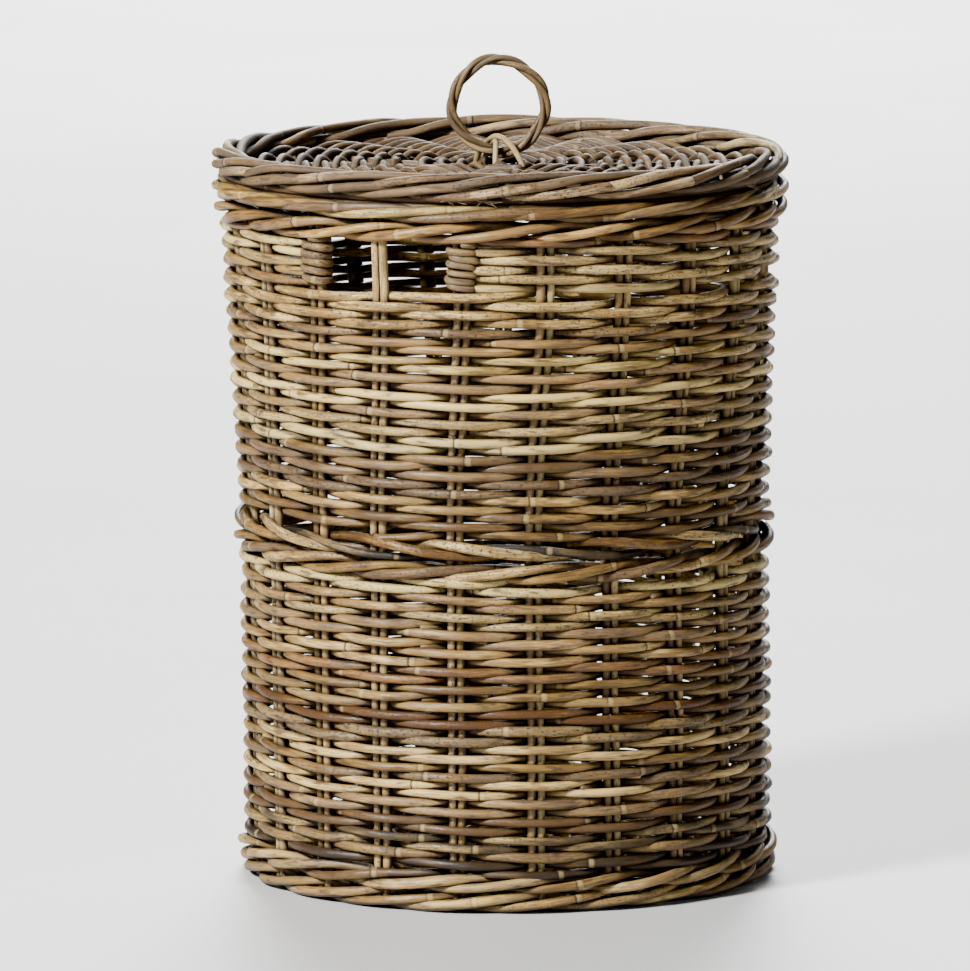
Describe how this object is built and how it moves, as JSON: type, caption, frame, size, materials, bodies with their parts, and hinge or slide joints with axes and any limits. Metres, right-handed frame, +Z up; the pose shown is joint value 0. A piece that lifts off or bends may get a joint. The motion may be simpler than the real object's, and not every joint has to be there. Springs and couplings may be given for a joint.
{
  "type": "woven laundry basket",
  "caption": "Tall round laundry basket woven from rattan cane over paired stakes, with hand holes, a waist band, and a loose woven lid with a ring handle.",
  "frame": {"origin": "middle of the foot, on the floor", "axes": "+Z up; +X along the ring handle as it stands on the lid; -Y is the side seen first, with one hand hole to its left"},
  "size_m": [0.4799, 0.48, 0.6818],
  "materials": {
    "woven_cane": "satin, honey to grey-brown rattan",
    "border_cane": "satin, honey rattan",
    "stake_cane": "satin, golden rattan",
    "weathered_cane": "dull satin, grey-brown rattan",
    "binding_cane": "satin rattan",
    "handle_cane": "satin, brown rattan"
  },
  "bodies": {
    "basket": {"foot_border": "border_cane", "foot_wale": "border_cane", "base_panel": "woven_cane", "base_sticks": "stake_cane", "lower_wall": "woven_cane", "waist_wale_lower": "border_cane", "waist_wale_upper": "border_cane", "upper_wall": "woven_cane", "hand_hole_wrap_front_left": "woven_cane", "hand_hole_wrap_front_right": "woven_cane", "hand_hole_wrap_back_right": "woven_cane", "hand_hole_wrap_back_left": "woven_cane", "rim_wale": "border_cane", "rim_border": "border_cane", "side_stakes": "stake_cane"},
    "lid": {"lid_field": "weathered_cane", "lid_ribs": "stake_cane", "lid_wale": "weathered_cane", "lid_border": "weathered_cane", "lid_collar": "weathered_cane", "handle_strap_lower": "binding_cane", "handle_strap_upper": "binding_cane"},
    "ring_handle": {"ring_strand_1": "handle_cane", "ring_strand_2": "handle_cane", "ring_strand_3": "handle_cane"}
  },
  "joints": [
    {"name": "lid_lift", "type": "slide", "parent": "basket", "child": "lid", "axis": [0, 0, 1], "range_m": [0, 0.12]},
    {"name": "handle_tilt", "type": "hinge", "parent": "lid", "child": "ring_handle", "pos_m": [0, 0, 0.6004], "axis": [1, 0, 0], "range_deg": [-75, 75]}
  ]
}
